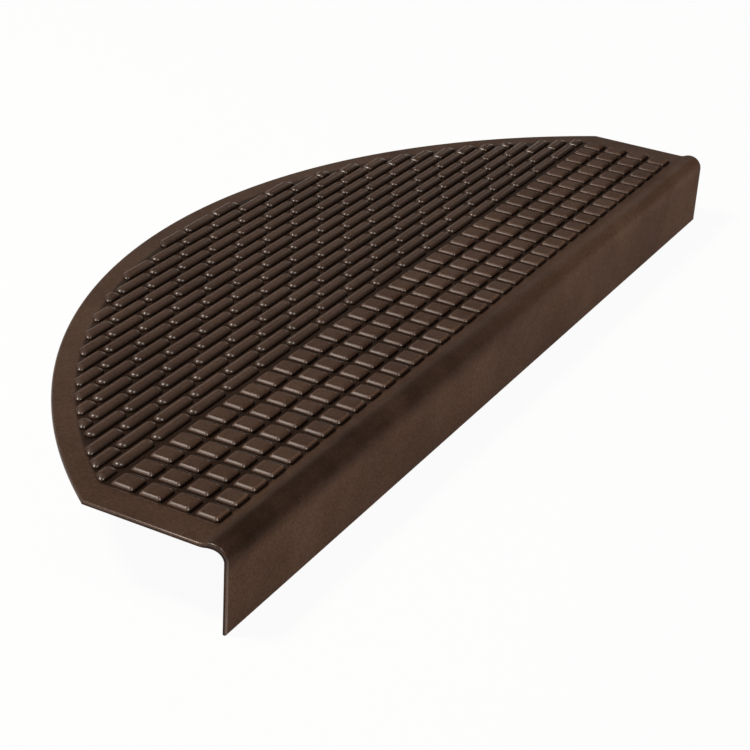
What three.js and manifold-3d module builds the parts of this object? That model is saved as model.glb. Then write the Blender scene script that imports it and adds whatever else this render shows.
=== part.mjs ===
// Half-round rubber mat for one stair tread: a thin moulded sheet with a straight rounded nose and a
// flange that hangs down in front of the step. The tread side carries rows of square studs by the
// nose and rows of long ribs with pointed ends, laid like bricks, over the rest.
// Millimetres. X runs along the nose, +Y into the stair and +Z up. The origin lies on the underside,
// midway along the line where the straight sides meet the curved back edge.

import * as THREE from 'three';
import { mergeVertices } from 'three/addons/utils/BufferGeometryUtils.js';
import Module from 'manifold-3d';

// Sheet outline
const matWidth = 650;
const matDepth = 250; // nose face to the furthest point of the back edge
const backRadius = 405; // plan radius of the curved back edge
const sheetThickness = 2.2;

// Nose and flange
const flangeDrop = 46; // underside of the sheet to the flange's lower edge
const flangeThickness = 2.2;
const noseRadius = 8.7; // outside of the bend
const noseWall = 3.2; // wall at the crest of the bend
const beadRise = 2; // crest above the tread side of the sheet
const beadRun = 9; // crest to where the sheet is flat

// Studs
const studRows = 4;
const studSize = 13.7;
const studGap = 3.4;
const studHeight = 2.6;
const studBevel = 1.8; // bevel round the top, in plan
const studBevelDepth = 1;
const noseBorder = 18.5; // nose face to the first stud row
const leastSideBorder = 17; // plain strip kept at each side of the stud rows

// Ribs
const ribWidth = 7.8;
const ribHeight = 2.6;
const ribBevel = 1.8; // bevel round the top, in plan
const ribBevelDepth = 0.9;
const ribRowPitch = 10.15;
const ribEndGap = 1.7; // between two ribs of one row
const studToRib = 4.6; // last stud row to the first rib row
const backBorder = 11.6; // plain strip along the curved back edge
const ribEndSlope = 1.2; // how far a rib cut short by the border leans in at its top
const ribEndHold = 0.23; // share of the rib's width, behind its middle, that the cut leaves whole

// Fineness of the round stretches
const backEdgeSteps = 60;
const noseSteps = 8;
const fieldSteps = 180; // round the whole circle that bounds the ribs

const rubberColor = 0x46352d;
const rubberRoughness = 0.55;

// Places that follow from the sizes above
const halfWidth = matWidth / 2;
const arcCentreY = -Math.sqrt(backRadius ** 2 - halfWidth ** 2);
const backY = arcCentreY + backRadius;
const noseY = backY - matDepth;
const crestY = noseY + noseRadius;
const crestZ = sheetThickness + beadRise;
const bendZ = crestZ - noseRadius; // where the bend runs into the flange
const rootZ = 0.75 * sheetThickness; // studs and ribs rise from inside the sheet
const studPitch = studSize + studGap;
const studColumns = 2 * Math.floor((matWidth - 2 * leastSideBorder + studGap) / studPitch / 2);
const studFieldY = noseY + noseBorder;
const firstRibY = studFieldY + studRows * studPitch - studGap + studToRib + ribWidth / 2;
const ribPitch = 2 * studPitch; // one rib spans two studs
const fieldRadius = backRadius - backBorder;
const clearance = 5; // how far a cutting body stands past what it cuts

const wasm = await Module();
wasm.setup();
const { Manifold, Mesh } = wasm;

function toSolid(geometry) {
  geometry.deleteAttribute('normal');
  geometry.deleteAttribute('uv');
  const merged = mergeVertices(geometry);
  const triangles = [];
  for (let i = 0; i < merged.index.count; i += 3) {
    const [a, b, c] = merged.index.array.slice(i, i + 3);
    const hasArea = a !== b && b !== c && c !== a;
    if (hasArea) triangles.push(a, b, c);
  }
  return new Manifold(new Mesh({
    numProp: 3,
    vertProperties: new Float32Array(merged.attributes.position.array),
    triVerts: new Uint32Array(triangles),
  }));
}

function toGeometry(solid) {
  const mesh = solid.getMesh();
  const geometry = new THREE.BufferGeometry();
  geometry.setAttribute('position', new THREE.BufferAttribute(mesh.vertProperties, 3));
  geometry.setIndex(new THREE.BufferAttribute(mesh.triVerts, 1));
  geometry.computeVertexNormals();
  return geometry;
}

// Section of the sheet, nose and flange, drawn with Y to the right and Z up
function sheetSection() {
  const innerCrestZ = crestZ - noseWall;
  const flatY = crestY + beadRun;
  const midRunY = crestY + beadRun / 2;
  const section = new THREE.Shape();
  section.moveTo(backY + clearance, 0);
  section.lineTo(backY + clearance, sheetThickness);
  section.lineTo(flatY, sheetThickness);
  section.bezierCurveTo(midRunY, sheetThickness, midRunY, crestZ, crestY, crestZ);
  section.absarc(crestY, bendZ, noseRadius, Math.PI / 2, Math.PI, false);
  section.lineTo(noseY, -flangeDrop);
  section.lineTo(noseY + flangeThickness, -flangeDrop);
  section.lineTo(noseY + flangeThickness, bendZ);
  section.absellipse(crestY, bendZ, noseRadius - flangeThickness, noseRadius - noseWall,
    Math.PI, Math.PI / 2, true);
  section.bezierCurveTo(midRunY, innerCrestZ, midRunY, 0, flatY, 0);
  return section;
}

// The section drawn out along the nose, past both sides
function drawnSheet() {
  const length = matWidth + 2 * clearance;
  const geometry = new THREE.ExtrudeGeometry(sheetSection(), {
    depth: length,
    bevelEnabled: false,
    curveSegments: noseSteps,
  });
  const sectionToModel = new THREE.Matrix4().makeBasis(
    new THREE.Vector3(0, 1, 0), new THREE.Vector3(0, 0, 1), new THREE.Vector3(1, 0, 0));
  geometry.applyMatrix4(sectionToModel);
  geometry.translate(-length / 2, 0, 0);
  return toSolid(geometry);
}

// Straight sides and nose, and one arc for the back edge
function planOutline() {
  const sideAngle = Math.atan2(-arcCentreY, halfWidth);
  const outline = new THREE.Shape();
  outline.moveTo(-halfWidth, noseY - clearance);
  outline.lineTo(halfWidth, noseY - clearance);
  outline.lineTo(halfWidth, 0);
  outline.absarc(0, arcCentreY, backRadius, sideAngle, Math.PI - sideAngle, false);
  return outline;
}

function planCutter() {
  const geometry = new THREE.ExtrudeGeometry(planOutline(), {
    depth: flangeDrop + crestZ + 2 * clearance,
    bevelEnabled: false,
    curveSegments: backEdgeSteps,
  });
  geometry.translate(0, 0, -flangeDrop - clearance);
  return toSolid(geometry);
}

// A plan outline raised above the sheet, with a bevel round its top. The same bevel round its foot
// is buried in the sheet.
function raised(outline, height, bevelSize, bevelDepth) {
  const geometry = new THREE.ExtrudeGeometry(outline, {
    depth: sheetThickness + height - bevelDepth - rootZ,
    bevelEnabled: true,
    bevelSegments: 1,
    bevelThickness: bevelDepth,
    bevelSize,
    bevelOffset: -bevelSize,
  });
  geometry.translate(0, 0, rootZ);
  return toSolid(geometry);
}

function studOutline(x, y) {
  const half = studSize / 2;
  const outline = new THREE.Shape();
  outline.moveTo(x - half, y - half);
  outline.lineTo(x + half, y - half);
  outline.lineTo(x + half, y + half);
  outline.lineTo(x - half, y + half);
  return outline;
}

function studs() {
  const solids = [];
  for (let row = 0; row < studRows; row += 1) {
    const y = studFieldY + studSize / 2 + row * studPitch;
    for (let column = 0; column < studColumns; column += 1) {
      const x = (column - (studColumns - 1) / 2) * studPitch;
      solids.push(raised(studOutline(x, y), studHeight, studBevel, studBevelDepth));
    }
  }
  return Manifold.union(solids);
}

// A long bar from x0 to x1 whose ends are points of a hexagon
function ribOutline(x0, x1, y) {
  const half = ribWidth / 2;
  const endRun = half * Math.tan(Math.PI / 6);
  const outline = new THREE.Shape();
  outline.moveTo(x0, y);
  outline.lineTo(x0 + endRun, y - half);
  outline.lineTo(x1 - endRun, y - half);
  outline.lineTo(x1, y);
  outline.lineTo(x1 - endRun, y + half);
  outline.lineTo(x0 + endRun, y + half);
  return outline;
}

// How far a rib row centred at y may reach from the middle before it meets the plain back border
function ribReach(y) {
  const heldY = y + ribWidth * ribEndHold - arcCentreY;
  return heldY < fieldRadius ? Math.sqrt(fieldRadius ** 2 - heldY ** 2) : 0;
}

function ribs() {
  const solids = [];
  for (let row = 0, y = firstRibY; ribReach(y) > ribWidth; row += 1, y += ribRowPitch) {
    const reach = ribReach(y);
    const last = Math.ceil(reach / ribPitch);
    const offset = (row % 2) * studPitch;
    for (let column = -last - 1; column <= last; column += 1) {
      const centre = column * ribPitch + offset;
      const x0 = Math.max(centre - (ribPitch - ribEndGap) / 2, -reach);
      const x1 = Math.min(centre + (ribPitch - ribEndGap) / 2, reach);
      if (x1 - x0 > ribWidth) {
        solids.push(raised(ribOutline(x0, x1, y), ribHeight, ribBevel, ribBevelDepth));
      }
    }
  }
  return Manifold.union(solids).intersect(ribField());
}

// Space inside the back border, leaning in so that the ribs it cuts short have sloping ends
function ribField() {
  const span = 2 * ribHeight;
  const lean = 2 * ribEndSlope;
  const geometry = new THREE.CylinderGeometry(
    fieldRadius - lean, fieldRadius + lean, 2 * span, fieldSteps);
  geometry.rotateX(Math.PI / 2);
  geometry.translate(0, arcCentreY, sheetThickness);
  return toSolid(geometry);
}

const mat = drawnSheet().intersect(planCutter()).add(studs()).add(ribs());

const rubber = new THREE.MeshStandardMaterial({
  color: rubberColor,
  roughness: rubberRoughness,
  metalness: 0,
});
const treadMat = new THREE.Mesh(toGeometry(mat), rubber);
treadMat.name = 'tread_mat';

const part = new THREE.Group();
part.name = 'stair_tread_mat';
part.add(treadMat);

export default part;
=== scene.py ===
"""Looks of the half-round rubber stair tread mat: one moulded piece with raised studs and ribs."""

import math

import bpy
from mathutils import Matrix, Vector


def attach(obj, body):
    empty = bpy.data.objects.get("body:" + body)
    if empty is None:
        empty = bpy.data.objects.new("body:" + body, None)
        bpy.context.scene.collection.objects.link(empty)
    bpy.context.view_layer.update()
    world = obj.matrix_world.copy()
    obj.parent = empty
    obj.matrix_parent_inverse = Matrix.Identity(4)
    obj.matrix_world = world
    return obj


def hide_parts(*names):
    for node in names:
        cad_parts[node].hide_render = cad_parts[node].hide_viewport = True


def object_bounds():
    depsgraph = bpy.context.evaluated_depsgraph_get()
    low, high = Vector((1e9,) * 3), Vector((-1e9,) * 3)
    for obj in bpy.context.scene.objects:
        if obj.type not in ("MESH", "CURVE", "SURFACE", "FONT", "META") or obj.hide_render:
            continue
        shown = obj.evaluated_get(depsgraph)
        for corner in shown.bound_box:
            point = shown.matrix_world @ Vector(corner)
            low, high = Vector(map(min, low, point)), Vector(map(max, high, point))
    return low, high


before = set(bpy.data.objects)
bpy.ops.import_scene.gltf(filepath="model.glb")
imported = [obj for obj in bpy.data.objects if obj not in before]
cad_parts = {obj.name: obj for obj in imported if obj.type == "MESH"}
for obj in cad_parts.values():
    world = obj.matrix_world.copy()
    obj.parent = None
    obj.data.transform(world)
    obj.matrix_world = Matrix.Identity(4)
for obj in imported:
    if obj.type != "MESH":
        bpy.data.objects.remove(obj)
cad_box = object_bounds()

MM = 0.001

# Sizes of the mat in millimetres, as in the part's source
WIDTH = 650
DEPTH = 250
BACK_RADIUS = 405
SHEET = 2.2
FLANGE_DROP = 46
FLANGE = 2.2
NOSE_RADIUS = 8.7
NOSE_WALL = 3.2
BEAD_RISE = 2
BEAD_RUN = 9
STUD_ROWS = 4
STUD_SIZE = 13.7
STUD_GAP = 3.4
STUD_HEIGHT = 2.6
NOSE_BORDER = 18.5
LEAST_SIDE_BORDER = 17
RIB_WIDTH = 7.8
RIB_HEIGHT = 2.6
RIB_ROW_PITCH = 10.15
RIB_END_GAP = 1.7
STUD_TO_RIB = 4.6
BACK_BORDER = 11.6
RIB_END_HOLD = 0.23  # share of the rib's width, behind its middle, that the border leaves whole

# Rounding that the moulding adds to those forms
RIM_ROUND = 1.0
RIM_UNDER_ROUND = 0.3
STUD_CORNER = 2  # in plan, at the stud's foot
STUD_TOP_CORNER = 1
STUD_EDGE = 1.8  # bevel round the top, in plan
STUD_EDGE_DROP = 1.45
STUD_EDGE_FULLNESS = 1.2  # 1 is a straight bevel and 2 a quarter ellipse
RELIEF_CROWN = 0.3  # added to the height of studs and ribs
RIB_CUT_ROUND = 2.1  # corners in plan of a rib that the border cuts short
RIB_CORNER_SHARE = 0.98  # corner radius as a share of what fits
RIB_FLAT = 0.3  # width of the crest's level stretch
RIB_FULLNESS = 2.0  # 2 is a half ellipse
ROOT_FILLET = 0.5
WALL_LEAN = 0.1

# Fineness of the round stretches
CORNER_STEPS = 6
EDGE_STEPS = 6
FILLET_STEPS = 2
RIB_STEPS = 8
BEND_STEPS = 14
RUN_STEPS = 10
ARC_STEPS = 60
STUD_TOP_RING = STUD_SIZE / 4  # inset of the last ring, which keeps the top's shading level

# Places that follow from the sizes above
HALF_WIDTH = WIDTH / 2
ARC_CENTRE_Y = -math.sqrt(BACK_RADIUS**2 - HALF_WIDTH**2)
BACK_Y = ARC_CENTRE_Y + BACK_RADIUS
NOSE_Y = BACK_Y - DEPTH
CREST_Y = NOSE_Y + NOSE_RADIUS
CREST_Z = SHEET + BEAD_RISE
BEND_Z = CREST_Z - NOSE_RADIUS
STUD_PITCH = STUD_SIZE + STUD_GAP
STUD_COLUMNS = 2 * int((WIDTH - 2 * LEAST_SIDE_BORDER + STUD_GAP) / STUD_PITCH / 2)
STUD_FIELD_Y = NOSE_Y + NOSE_BORDER
FIRST_RIB_Y = STUD_FIELD_Y + STUD_ROWS * STUD_PITCH - STUD_GAP + STUD_TO_RIB + RIB_WIDTH / 2
RIB_PITCH = 2 * STUD_PITCH
FIELD_RADIUS = BACK_RADIUS - BACK_BORDER

# Wear of the edges, from 0 to 1. It sets their gloss, and from the nose to the last stud row a paler colour
# that is partly wear and partly a painted highlight.
EDGE_WEAR = "edge_wear"
UNWORN = (0, 0)
RIM_WEAR = 1
STUD_WEAR = (0.26, 1)  # straight sides and corners
RIB_WEAR = (0, 0, 0.8, 1, 1, 1, 0.5, 0.1, 0)  # from the foot to the crest, one for each of its levels

# Rubber colours. A shade multiplies the colour.
DARK_BROWN = (0.0535, 0.0312, 0.0217)
LIGHT_BROWN = (0.0715, 0.0422, 0.0294)
MOTTLE_SHADES = (0.82, 1.18)
# paler colour of rubbed edges: partly wear, partly a painted highlight on the stud bevels
WEAR_AND_PAINTED_HIGHLIGHT = 1.45
PALE_FROM_WEAR = 0.3  # wear that is enough for the whole of the paler edge colour
# painted shade on the nose's round-over at the left, painted sheen at the right
NOSE_PAINTED_SHADE = 0.34
NOSE_PAINTED_SHEEN = 1.25
LEAST_NOSE_PAINT = 0.5  # share of the painted nose shade and sheen that is left between its patches
# painted shade on the floor and lower walls between studs and ribs
PAINTED_HOLLOW_SHADE = 0.35

# Where the nose gets painted shade and a painted sheen, and the hollows painted shade, in millimetres
NOSE_PAINT_FROM_BELOW_BEND = 8
NOSE_PAINT_FULL_ABOVE_BEND = 4
NOSE_PAINT_FADES_BEFORE_CREST = 1
NOSE_SHADE_X = -WIDTH / 4
NOSE_SHEEN_X = WIDTH / 3
HOLLOW_RISE = 1.6
HOLLOW_FRONT_FADE = 1
HOLLOW_BACK_FADE = 3

# Gloss: a thin film over matt rubber
RUBBER_ROUGHNESS = 0.6
FILM_ROUGHNESS = 0.34
FLANGE_FILM = 0.05
TREAD_FILM = 0.13
EDGE_FILM = 1
FILM_SHARES = (0.7, 1.3)

# Noises: scale for a metre, detail and roughness
CLOUD_NOISE = (14, 4, 0.6)
MOTTLE_NOISE = (700, 3, 0.6)
PATCH_NOISE = (16, 4, 0.6)
FILM_NOISE = (40, 5, 0.6)
WAVE_NOISE = (18, 2, 0.4)
GRAIN_NOISE = (1600, 3, 0.6)
NOISE_SPAN = (0.3, 0.7)  # stretch of a noise that is spread over the whole range
PATCH_SPAN = (0.34, 0.66)

# Bumps: strength, and distance in metres
WAVE_BUMP = (0.25, 0.004)
GRAIN_BUMP = (0.12, 0.0004)

# Camera: place in metres, turn in degrees, lens and sensor in millimetres
CAMERA_PLACE = (-0.9735, -0.4971, 0.4996)
CAMERA_TURN_DEG = (62.563, -3.125, -60.912)
CAMERA_LENS = 90.95
CAMERA_SENSOR = 36

# Floor and world
FLOOR_SIZE = 60
FLOOR_COLOR = (0.9, 0.9, 0.9, 1)
FLOOR_WHITE_SHARE = 0.95
WORLD_COLOR = (0.025, 0.025, 0.025, 1)

# Lamps: place and size in metres, power in watts
WARM = (1, 0.92, 0.84)
KEY_PLACE = (-0.77, 0.95, 1.83)
KEY_SIZE = (0.42, 0.42)
KEY_POWER = 44
FRONT_PLACE = (-0.26, -1.07, 1.9)
FRONT_SIZE = (0.12, 0.12)
FRONT_POWER = 5
GLINT_POWER = 18
BACK_PLACE = (1.9, 1.2, 0.9)
BACK_SIZE = (2.6, 1.2)
BACK_POWER = 10
LOW_PLACE = (0.2, -2.0, -0.02)
LOW_SIZE = (3.0, 0.04)
LOW_POWER = 38


def mix(a, b, share):
    return tuple(p + (q - p) * share for p, q in zip(a, b))


def eased(start, end, share):
    """Point (y, z) at a share of the way along a cubic curve that is level at both ends."""
    y = start[0] + (end[0] - start[0]) * (1.5 * share * (1 - share) + share**3)
    z = start[1] + (end[1] - start[1]) * (3 * share**2 - 2 * share**3)
    return y, z


def quarter_turn(steps):
    """Cosine and sine at even steps from 0 to 90 degrees."""
    angles = [math.pi / 2 * step / steps for step in range(steps + 1)]
    return [(math.cos(angle), math.sin(angle)) for angle in angles]


def section_stations():
    """Pairs of outer and inner (y, z) from the flange's lower edge, round the nose, to the flat sheet."""
    stations = []
    for z in (-FLANGE_DROP, -FLANGE_DROP / 2, BEND_Z):
        stations.append(((NOSE_Y, z), (NOSE_Y + FLANGE, z)))
    for step in range(1, BEND_STEPS + 1):
        angle = math.pi - math.pi / 2 * step / BEND_STEPS
        c, s = math.cos(angle), math.sin(angle)
        outer = (CREST_Y + NOSE_RADIUS * c, BEND_Z + NOSE_RADIUS * s)
        inner = (CREST_Y + (NOSE_RADIUS - FLANGE) * c, BEND_Z + (NOSE_RADIUS - NOSE_WALL) * s)
        stations.append((outer, inner))
    for step in range(1, RUN_STEPS + 1):
        share = step / RUN_STEPS
        outer = eased((CREST_Y, CREST_Z), (CREST_Y + BEAD_RUN, SHEET), share)
        inner = eased((CREST_Y, CREST_Z - NOSE_WALL), (CREST_Y + BEAD_RUN, 0), share)
        stations.append((outer, inner))
    return stations


def rim_rings():
    """(inset from the rim, height share, wear) round the cut edge, from the underside to the tread side."""
    rings = []
    for c, s in quarter_turn(FILLET_STEPS):
        rings.append((RIM_UNDER_ROUND * (1 - s), RIM_UNDER_ROUND * (1 - c) / SHEET, 0))
    for step, (c, s) in enumerate(quarter_turn(EDGE_STEPS)):
        wear = RIM_WEAR if 0 < step < EDGE_STEPS else 0
        rings.append((RIM_ROUND * (1 - c), 1 - RIM_ROUND * (1 - s) / SHEET, wear))
    return rings


def sheet_half_loop(inset, height):
    """Right half of one ring round the rim, from the flange's lower corner to the top of the arc."""
    points = []
    for index, (outer, inner) in enumerate(section_stations()):
        y, z = mix(inner, outer, height)
        if index == 0:
            z += inset
        points.append((HALF_WIDTH - inset, y, z))
    z = SHEET * height
    side_angle = math.atan2(-ARC_CENTRE_Y, HALF_WIDTH)
    turn = side_angle / 2
    reach = inset / math.cos(turn)
    points.append((HALF_WIDTH - reach * math.cos(turn), -reach * math.sin(turn), z))
    radius = BACK_RADIUS - inset
    for step in range(1, ARC_STEPS + 1):
        angle = side_angle + (math.pi / 2 - side_angle) * step / ARC_STEPS
        points.append((radius * math.cos(angle), ARC_CENTRE_Y + radius * math.sin(angle), z))
    return points


class MeshMaker:
    """Gathers vertices, given in millimetres, their wear, and the faces of one mesh."""

    def __init__(self):
        self.vertices = []
        self.wear = []
        self.faces = []

    def ring(self, points, wear):
        first = len(self.vertices)
        self.vertices.extend(tuple(c * MM for c in p) for p in points)
        self.wear.extend(wear)
        return list(range(first, len(self.vertices)))

    def join(self, lower, upper):
        count = len(lower)
        for i in range(count):
            j = (i + 1) % count
            self.faces.append((lower[i], lower[j], upper[j], upper[i]))

    def cap(self, ring):
        self.faces.append(tuple(ring))

    def ladder(self, ring, upward):
        """Rungs across a ring whose halves mirror each other, with one vertex at the far end."""
        half = len(ring) // 2
        for i in range(half):
            right = (ring[i], ring[i + 1])
            left = (ring[-1 - i], ring[-2 - i])
            face = (right[0], right[1], left[1], left[0])
            if right[1] == left[1]:
                face = (right[0], right[1], left[0])
            self.faces.append(face if upward else face[::-1])

    def to_object(self, name):
        mesh = bpy.data.meshes.new(name)
        mesh.from_pydata(self.vertices, [], self.faces)
        mesh.attributes.new(EDGE_WEAR, "FLOAT", "POINT").data.foreach_set("value", self.wear)
        mesh.validate()
        mesh.update()
        mesh.shade_smooth()
        piece = bpy.data.objects.new(name, mesh)
        bpy.context.scene.collection.objects.link(piece)
        return piece


def add_sheet(maker):
    rings = []
    for inset, height, wear in rim_rings():
        right = sheet_half_loop(inset, height)
        left = [(-x, y, z) for x, y, z in reversed(right[:-1])]
        rings.append(maker.ring(right + left, [wear] * len(right + left)))
    for lower, upper in zip(rings, rings[1:]):
        maker.join(lower, upper)
    maker.ladder(rings[0], upward=False)
    maker.ladder(rings[-1], upward=True)


def rounded_outline(corners, inset, radius):
    """A convex outline of corners, anticlockwise, moved in by inset and rounded with the radius."""
    count = len(corners)
    lines = []
    for i in range(count):
        a, b = Vector(corners[i]), Vector(corners[(i + 1) % count])
        along = (b - a).normalized()
        normal = Vector((along.y, -along.x))
        lines.append((a - normal * inset, along, normal))
    points = []
    for i in range(count):
        a0, d0, n0 = lines[i - 1]
        a1, d1, n1 = lines[i]
        cross = d0.x * d1.y - d0.y * d1.x
        gap = a1 - a0
        corner = a0 + d0 * ((gap.x * d1.y - gap.y * d1.x) / cross)
        turn = math.acos(max(-1, min(1, n0.dot(n1))))
        centre = corner - (n0 + n1).normalized() * (radius / math.cos(turn / 2))
        start = math.atan2(n0.y, n0.x)
        for step in range(CORNER_STEPS + 1):
            angle = start + turn * step / CORNER_STEPS
            points.append((centre.x + radius * math.cos(angle), centre.y + radius * math.sin(angle)))
    return points


def outline_wear(count, side_wear, corner_wear):
    """Wear of the points of a rounded outline: one value at each corner, another along the sides."""
    wear = []
    for index in range(count):
        on_corner = 0 < index % (CORNER_STEPS + 1) < CORNER_STEPS
        wear.append(corner_wear if on_corner else side_wear)
    return wear


def add_relief(maker, corners, levels):
    """Raised form on the sheet. Each level is its inset, its height above the sheet, its corner radius
    and its wear, which is a pair for the sides and the corners."""
    rings = []
    for inset, height, radius, wear in levels:
        outline = rounded_outline(corners, inset, radius)
        points = [(x, y, SHEET + height) for x, y in outline]
        rings.append(maker.ring(points, outline_wear(len(outline), *wear)))
    for lower, upper in zip(rings, rings[1:]):
        maker.join(lower, upper)
    maker.cap(rings[-1])


def root_levels(radius):
    """The small hollow fillet where a raised form meets the sheet."""
    return [(-ROOT_FILLET * (1 - s), ROOT_FILLET * (1 - c), radius, UNWORN)
            for c, s in quarter_turn(FILLET_STEPS)]


def stud_levels():
    """Levels of a stud: fillet, steep wall, a bevel that runs softly into wall and top, level top."""
    power = 2 / STUD_EDGE_FULLNESS
    top = STUD_HEIGHT + RELIEF_CROWN
    levels = root_levels(STUD_CORNER)
    for step, (c, s) in enumerate(quarter_turn(EDGE_STEPS)):
        inset = WALL_LEAN + STUD_EDGE * (1 - c**power)
        height = top - STUD_EDGE_DROP * (1 - s**power)
        radius = max(STUD_TOP_CORNER, STUD_CORNER - inset / 2)
        levels.append((inset, height, radius, STUD_WEAR if 0 < step < EDGE_STEPS else UNWORN))
    levels.append((STUD_TOP_RING, top, STUD_TOP_CORNER, UNWORN))
    return levels


def add_studs(maker):
    half = STUD_SIZE / 2
    levels = stud_levels()
    for row in range(STUD_ROWS):
        y = STUD_FIELD_Y + half + row * STUD_PITCH
        for column in range(STUD_COLUMNS):
            x = (column - (STUD_COLUMNS - 1) / 2) * STUD_PITCH
            left, right, front, back = x - half, x + half, y - half, y + half
            add_relief(maker, [(left, front), (right, front), (right, back), (left, back)], levels)


def rib_levels(round_end):
    """Levels of a rib with a rounded section, whose corners in plan have the given radius at most."""
    half = RIB_WIDTH / 2
    power = 2 / RIB_FULLNESS
    levels = []
    for step, (c, s) in enumerate(quarter_turn(RIB_STEPS)):
        inset = min(half * (1 - c**power), half - RIB_FLAT / 2)
        height = (RIB_HEIGHT + RELIEF_CROWN) * s**power
        radius = min(round_end, half - inset) * RIB_CORNER_SHARE
        levels.append((inset, height, radius, (RIB_WEAR[step], RIB_WEAR[step])))
    return levels


def rib_reach(y):
    """How far a rib row centred at y reaches from the middle before it meets the plain back border."""
    held = y + RIB_WIDTH * RIB_END_HOLD - ARC_CENTRE_Y
    return math.sqrt(FIELD_RADIUS**2 - held**2) if held < FIELD_RADIUS else 0


def field_x(y):
    """Half the width of the ribbed field at y."""
    return math.sqrt(max(0, FIELD_RADIUS**2 - (y - ARC_CENTRE_Y) ** 2))


def rib_corners(x0, x1, y, reach):
    """Four corners of a rib. An end that the border cuts short follows the border's arc."""
    front, back = y - RIB_WIDTH / 2, y + RIB_WIDTH / 2
    slant = field_x(front) - field_x(back) if field_x(back) else 0
    lead = min(slant, RIB_WIDTH) / 2
    left = lead if x0 <= -reach else 0
    right = lead if x1 >= reach else 0
    return [(x0 - left, front), (x1 + right, front), (x1 - right, back), (x0 + left, back)]


def add_rib_row(maker, y, offset):
    reach = rib_reach(y)
    last = math.ceil(reach / RIB_PITCH)
    half_length = (RIB_PITCH - RIB_END_GAP) / 2
    for column in range(-last - 1, last + 1):
        centre = column * RIB_PITCH + offset
        x0 = max(centre - half_length, -reach)
        x1 = min(centre + half_length, reach)
        if x1 - x0 <= RIB_WIDTH:
            continue
        cut_short = x0 <= -reach or x1 >= reach
        levels = rib_levels(RIB_CUT_ROUND if cut_short else RIB_WIDTH / 2)
        add_relief(maker, rib_corners(x0, x1, y, reach), levels)


def add_ribs(maker):
    row, y = 0, FIRST_RIB_Y
    while rib_reach(y) > RIB_WIDTH:
        add_rib_row(maker, y, (row % 2) * STUD_PITCH)
        row += 1
        y = FIRST_RIB_Y + row * RIB_ROW_PITCH


class NodeMaker:
    """Adds shader nodes and their links to one material."""

    def __init__(self, tree):
        self.nodes = tree.nodes
        self.links = tree.links

    def add(self, kind, inputs, **settings):
        """A node whose inputs are constants or the outputs of other nodes."""
        node = self.nodes.new(kind)
        for name, value in settings.items():
            setattr(node, name, value)
        for name, value in inputs.items():
            self.set(node.inputs[name], value)
        return node

    def set(self, socket, value):
        if isinstance(value, bpy.types.NodeSocket):
            self.links.new(value, socket)
        else:
            socket.default_value = value

    def noise(self, place, kind):
        scale, detail, roughness = kind
        inputs = {"Vector": place, "Scale": scale, "Detail": detail, "Roughness": roughness}
        return self.add("ShaderNodeTexNoise", inputs).outputs["Fac"]

    def spread(self, value, start, end, low, high):
        """Maps start to end onto low to high, smoothly and clamped."""
        inputs = {"Value": value, "From Min": start, "From Max": end, "To Min": low, "To Max": high}
        return self.add("ShaderNodeMapRange", inputs, interpolation_type="SMOOTHSTEP").outputs["Result"]

    def product(self, *factors):
        result = factors[0]
        for factor in factors[1:]:
            result = self.add("ShaderNodeMath", {0: result, 1: factor}, operation="MULTIPLY").outputs[0]
        return result

    # A Mix node has its two numbers at inputs 2 and 3, and its two colours at 6 and 7
    def blend(self, low, high, share):
        return self.add("ShaderNodeMix", {0: share, 2: low, 3: high}, data_type="FLOAT").outputs[0]

    def tint(self, low, high, share):
        mixer = self.add("ShaderNodeMix", {0: share, 6: (*low, 1), 7: (*high, 1)}, data_type="RGBA")
        return mixer.outputs[2]

    def scaled(self, color, factor):
        node = self.add("ShaderNodeVectorMath", {0: color, "Scale": factor}, operation="SCALE")
        return node.outputs["Vector"]

    def bump(self, height, kind, normal=None):
        strength, distance = kind
        inputs = {"Height": height, "Strength": strength, "Distance": distance}
        if normal:
            inputs["Normal"] = normal
        return self.add("ShaderNodeBump", inputs).outputs["Normal"]


def painted_nose_shade_and_sheen(make, place, axes):
    """Painted shade and sheen of the nose: uneven dark patches of painted shade on the left that fade to a
    painted sheen on the right.
    """
    lowest, full = BEND_Z - NOSE_PAINT_FROM_BELOW_BEND, BEND_Z + NOSE_PAINT_FULL_ABOVE_BEND
    above_flange = make.spread(axes["Z"], lowest * MM, full * MM, 0, 1)
    fade_start, fade_end = CREST_Y - NOSE_PAINT_FADES_BEFORE_CREST, CREST_Y + BEAD_RUN
    before_studs = make.spread(axes["Y"], fade_start * MM, fade_end * MM, 1, 0)
    patches = make.spread(make.noise(place, PATCH_NOISE), *PATCH_SPAN, LEAST_NOSE_PAINT, 1)
    shade_to_sheen = make.spread(axes["X"], NOSE_SHADE_X * MM, NOSE_SHEEN_X * MM, NOSE_PAINTED_SHADE, NOSE_PAINTED_SHEEN)
    return make.blend(1, shade_to_sheen, make.product(above_flange, before_studs, patches))


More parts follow.
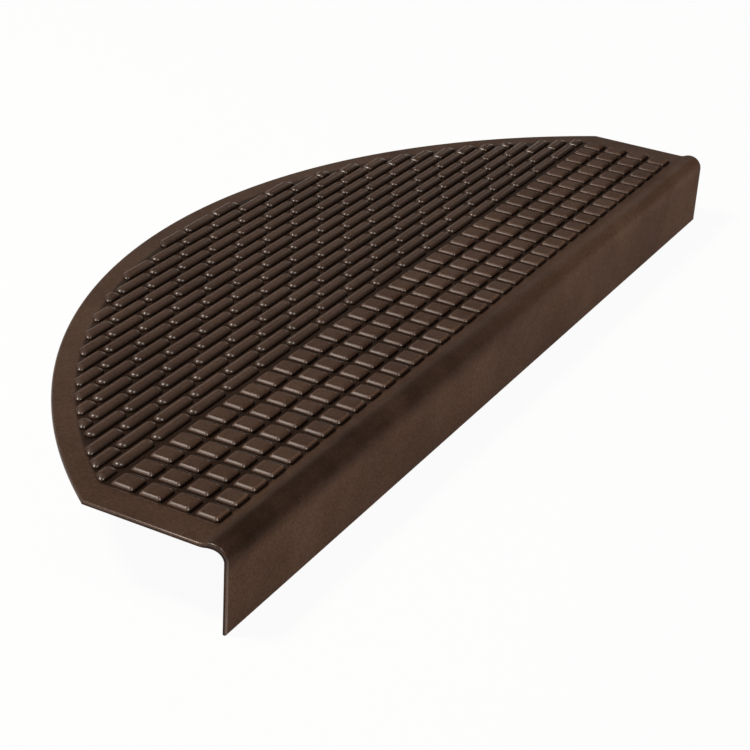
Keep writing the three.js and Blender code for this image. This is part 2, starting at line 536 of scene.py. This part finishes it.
def painted_hollow_shade(make, place, axes):
    """Painted shade on the floor and lower walls between the raised forms, where less light reaches."""
    low = make.spread(axes["Z"], SHEET * MM, (SHEET + HOLLOW_RISE) * MM, 1, 0)
    above = make.spread(axes["Z"], SHEET / 2 * MM, SHEET * MM, 0, 1)
    front = (STUD_FIELD_Y - HOLLOW_FRONT_FADE) * MM
    full = (STUD_FIELD_Y + HOLLOW_FRONT_FADE) * MM
    behind = make.spread(axes["Y"], front, full, 0, 1)
    across = make.add("ShaderNodeMath", {0: axes["X"]}, operation="ABSOLUTE").outputs[0]
    side = STUD_COLUMNS * STUD_PITCH / 2
    between = make.spread(across, (side - STUD_GAP) * MM, side * MM, 1, 0)
    arc_centre = (0, ARC_CENTRE_Y * MM, 0)
    to_centre = make.add("ShaderNodeVectorMath", {0: place, 1: arc_centre}, operation="DISTANCE")
    out = to_centre.outputs["Value"]
    within = make.spread(out, (FIELD_RADIUS - HOLLOW_BACK_FADE) * MM, FIELD_RADIUS * MM, 1, 0)
    return make.spread(make.product(low, above, behind, between, within), 0, 1, 1, PAINTED_HOLLOW_SHADE)


def wear_and_painted_highlight_shade(make, axes, wear):
    """Paler colour of rubbed edges, from the nose to the last stud row but not further back: partly wear,
    partly a painted highlight where light falls on the stud bevels.
    """
    studs_end = FIRST_RIB_Y - RIB_ROW_PITCH
    palest = make.spread(axes["Y"], studs_end * MM, FIRST_RIB_Y * MM, WEAR_AND_PAINTED_HIGHLIGHT, 1)
    return make.spread(wear, 0, PALE_FROM_WEAR, 1, palest)


def rubber_color(make, place, axes, wear):
    cloud = make.spread(make.noise(place, CLOUD_NOISE), *NOISE_SPAN, 0, 1)
    mottle = make.spread(make.noise(place, MOTTLE_NOISE), *NOISE_SPAN, *MOTTLE_SHADES)
    # The shade carries painted light: paler stud edges that are partly a painted highlight, painted shade
    # and sheen on the nose, painted shade in the hollows.
    shade = make.product(mottle, wear_and_painted_highlight_shade(make, axes, wear),
                         painted_nose_shade_and_sheen(make, place, axes), painted_hollow_shade(make, place, axes))
    return make.scaled(make.tint(DARK_BROWN, LIGHT_BROWN, cloud), shade)


def film_weight(make, place, axes, wear):
    """How much of the glossy film shows: little on the flange, more on the tread, most on worn edges."""
    plain = make.spread(axes["Z"], BEND_Z * MM, CREST_Z * MM, FLANGE_FILM, TREAD_FILM)
    uneven = make.spread(make.noise(place, FILM_NOISE), *NOISE_SPAN, *FILM_SHARES)
    return make.blend(make.product(plain, uneven), EDGE_FILM, wear)


def rubber_material():
    material = bpy.data.materials.new("moulded_rubber")
    material.use_nodes = True
    make = NodeMaker(material.node_tree)
    shader = make.nodes["Principled BSDF"]
    shader.inputs["Specular IOR Level"].default_value = 0
    shader.inputs["Roughness"].default_value = RUBBER_ROUGHNESS
    shader.inputs["Coat Roughness"].default_value = FILM_ROUGHNESS
    place = make.add("ShaderNodeTexCoord", {}).outputs["Object"]
    axes = make.add("ShaderNodeSeparateXYZ", {"Vector": place}).outputs
    wear = make.add("ShaderNodeAttribute", {}, attribute_name=EDGE_WEAR).outputs["Fac"]

    make.set(shader.inputs["Base Color"], rubber_color(make, place, axes, wear))
    make.set(shader.inputs["Coat Weight"], film_weight(make, place, axes, wear))
    waves = make.bump(make.noise(place, WAVE_NOISE), WAVE_BUMP)
    make.set(shader.inputs["Normal"], make.bump(make.noise(place, GRAIN_NOISE), GRAIN_BUMP, waves))
    return material


def make_mat():
    maker = MeshMaker()
    add_sheet(maker)
    add_studs(maker)
    add_ribs(maker)
    piece = maker.to_object("tread_mat_rubber")
    piece.data.materials.append(rubber_material())
    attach(piece, "root")
    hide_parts("tread_mat")


def seen_directly(make):
    """Factor of 1 for what the camera sees straight, in reflections and through glass."""
    path = make.add("ShaderNodeLightPath", {}).outputs
    total = path["Is Camera Ray"]
    for kind in ("Is Glossy Ray", "Is Transmission Ray"):
        inputs = {0: total, 1: path[kind]}
        total = make.add("ShaderNodeMath", inputs, operation="ADD", use_clamp=True).outputs[0]
    return total


def floor_material():
    """Matt white that glows where it is seen, so that the background is white and keeps a shadow."""
    material = bpy.data.materials.new("white_floor")
    material.use_nodes = True
    make = NodeMaker(material.node_tree)
    make.nodes.clear()
    matt = make.add("ShaderNodeBsdfDiffuse", {"Color": FLOOR_COLOR}).outputs[0]
    white = make.add("ShaderNodeEmission", {}).outputs[0]
    share = make.product(seen_directly(make), FLOOR_WHITE_SHARE)
    surface = make.add("ShaderNodeMixShader", {"Fac": share, 1: matt, 2: white}).outputs[0]
    make.add("ShaderNodeOutputMaterial", {"Surface": surface})
    return material


def make_floor():
    far = FLOOR_SIZE / 2
    z = cad_box[0].z
    mesh = bpy.data.meshes.new("floor")
    corners = [(-far, -far, z), (far, -far, z), (far, far, z), (-far, far, z)]
    mesh.from_pydata(corners, [], [(0, 1, 2, 3)])
    mesh.materials.append(floor_material())
    floor = bpy.data.objects.new("floor", mesh)
    bpy.context.scene.collection.objects.link(floor)


def make_world():
    world = bpy.data.worlds.new("studio")
    bpy.context.scene.world = world
    world.use_nodes = True
    world.node_tree.nodes["Background"].inputs["Color"].default_value = WORLD_COLOR


def add_area_light(name, place, size, power):
    """A warm lamp that faces the frame's origin, which lies inside the mat's outline."""
    light = bpy.data.lights.new(name, "AREA")
    light.shape = "RECTANGLE"
    light.size, light.size_y = size
    light.energy = power
    light.color = WARM
    lamp = bpy.data.objects.new(name, light)
    lamp.location = place
    lamp.rotation_euler = (-Vector(place)).to_track_quat("-Z", "Y").to_euler()
    bpy.context.scene.collection.objects.link(lamp)
    return lamp


def make_lights():
    """Two keys, extra glints from the front one, soft light from behind and a low lamp for the flange."""
    add_area_light("key_left", KEY_PLACE, KEY_SIZE, KEY_POWER)
    add_area_light("key_front", FRONT_PLACE, FRONT_SIZE, FRONT_POWER)
    glint_front = add_area_light("glint_front", FRONT_PLACE, FRONT_SIZE, GLINT_POWER)
    glint_front.visible_diffuse = False
    add_area_light("back_soft", BACK_PLACE, BACK_SIZE, BACK_POWER)
    front_low = add_area_light("front_low", LOW_PLACE, LOW_SIZE, LOW_POWER)
    front_low.visible_glossy = False


def make_camera():
    data = bpy.data.cameras.new("camera")
    data.lens = CAMERA_LENS
    data.sensor_width = CAMERA_SENSOR
    camera = bpy.data.objects.new("camera", data)
    camera.location = CAMERA_PLACE
    camera.rotation_euler = tuple(math.radians(a) for a in CAMERA_TURN_DEG)
    bpy.context.scene.collection.objects.link(camera)
    bpy.context.scene.camera = camera


make_mat()
make_floor()
make_world()
make_lights()
make_camera()
bpy.context.scene.view_settings.view_transform = "Standard"
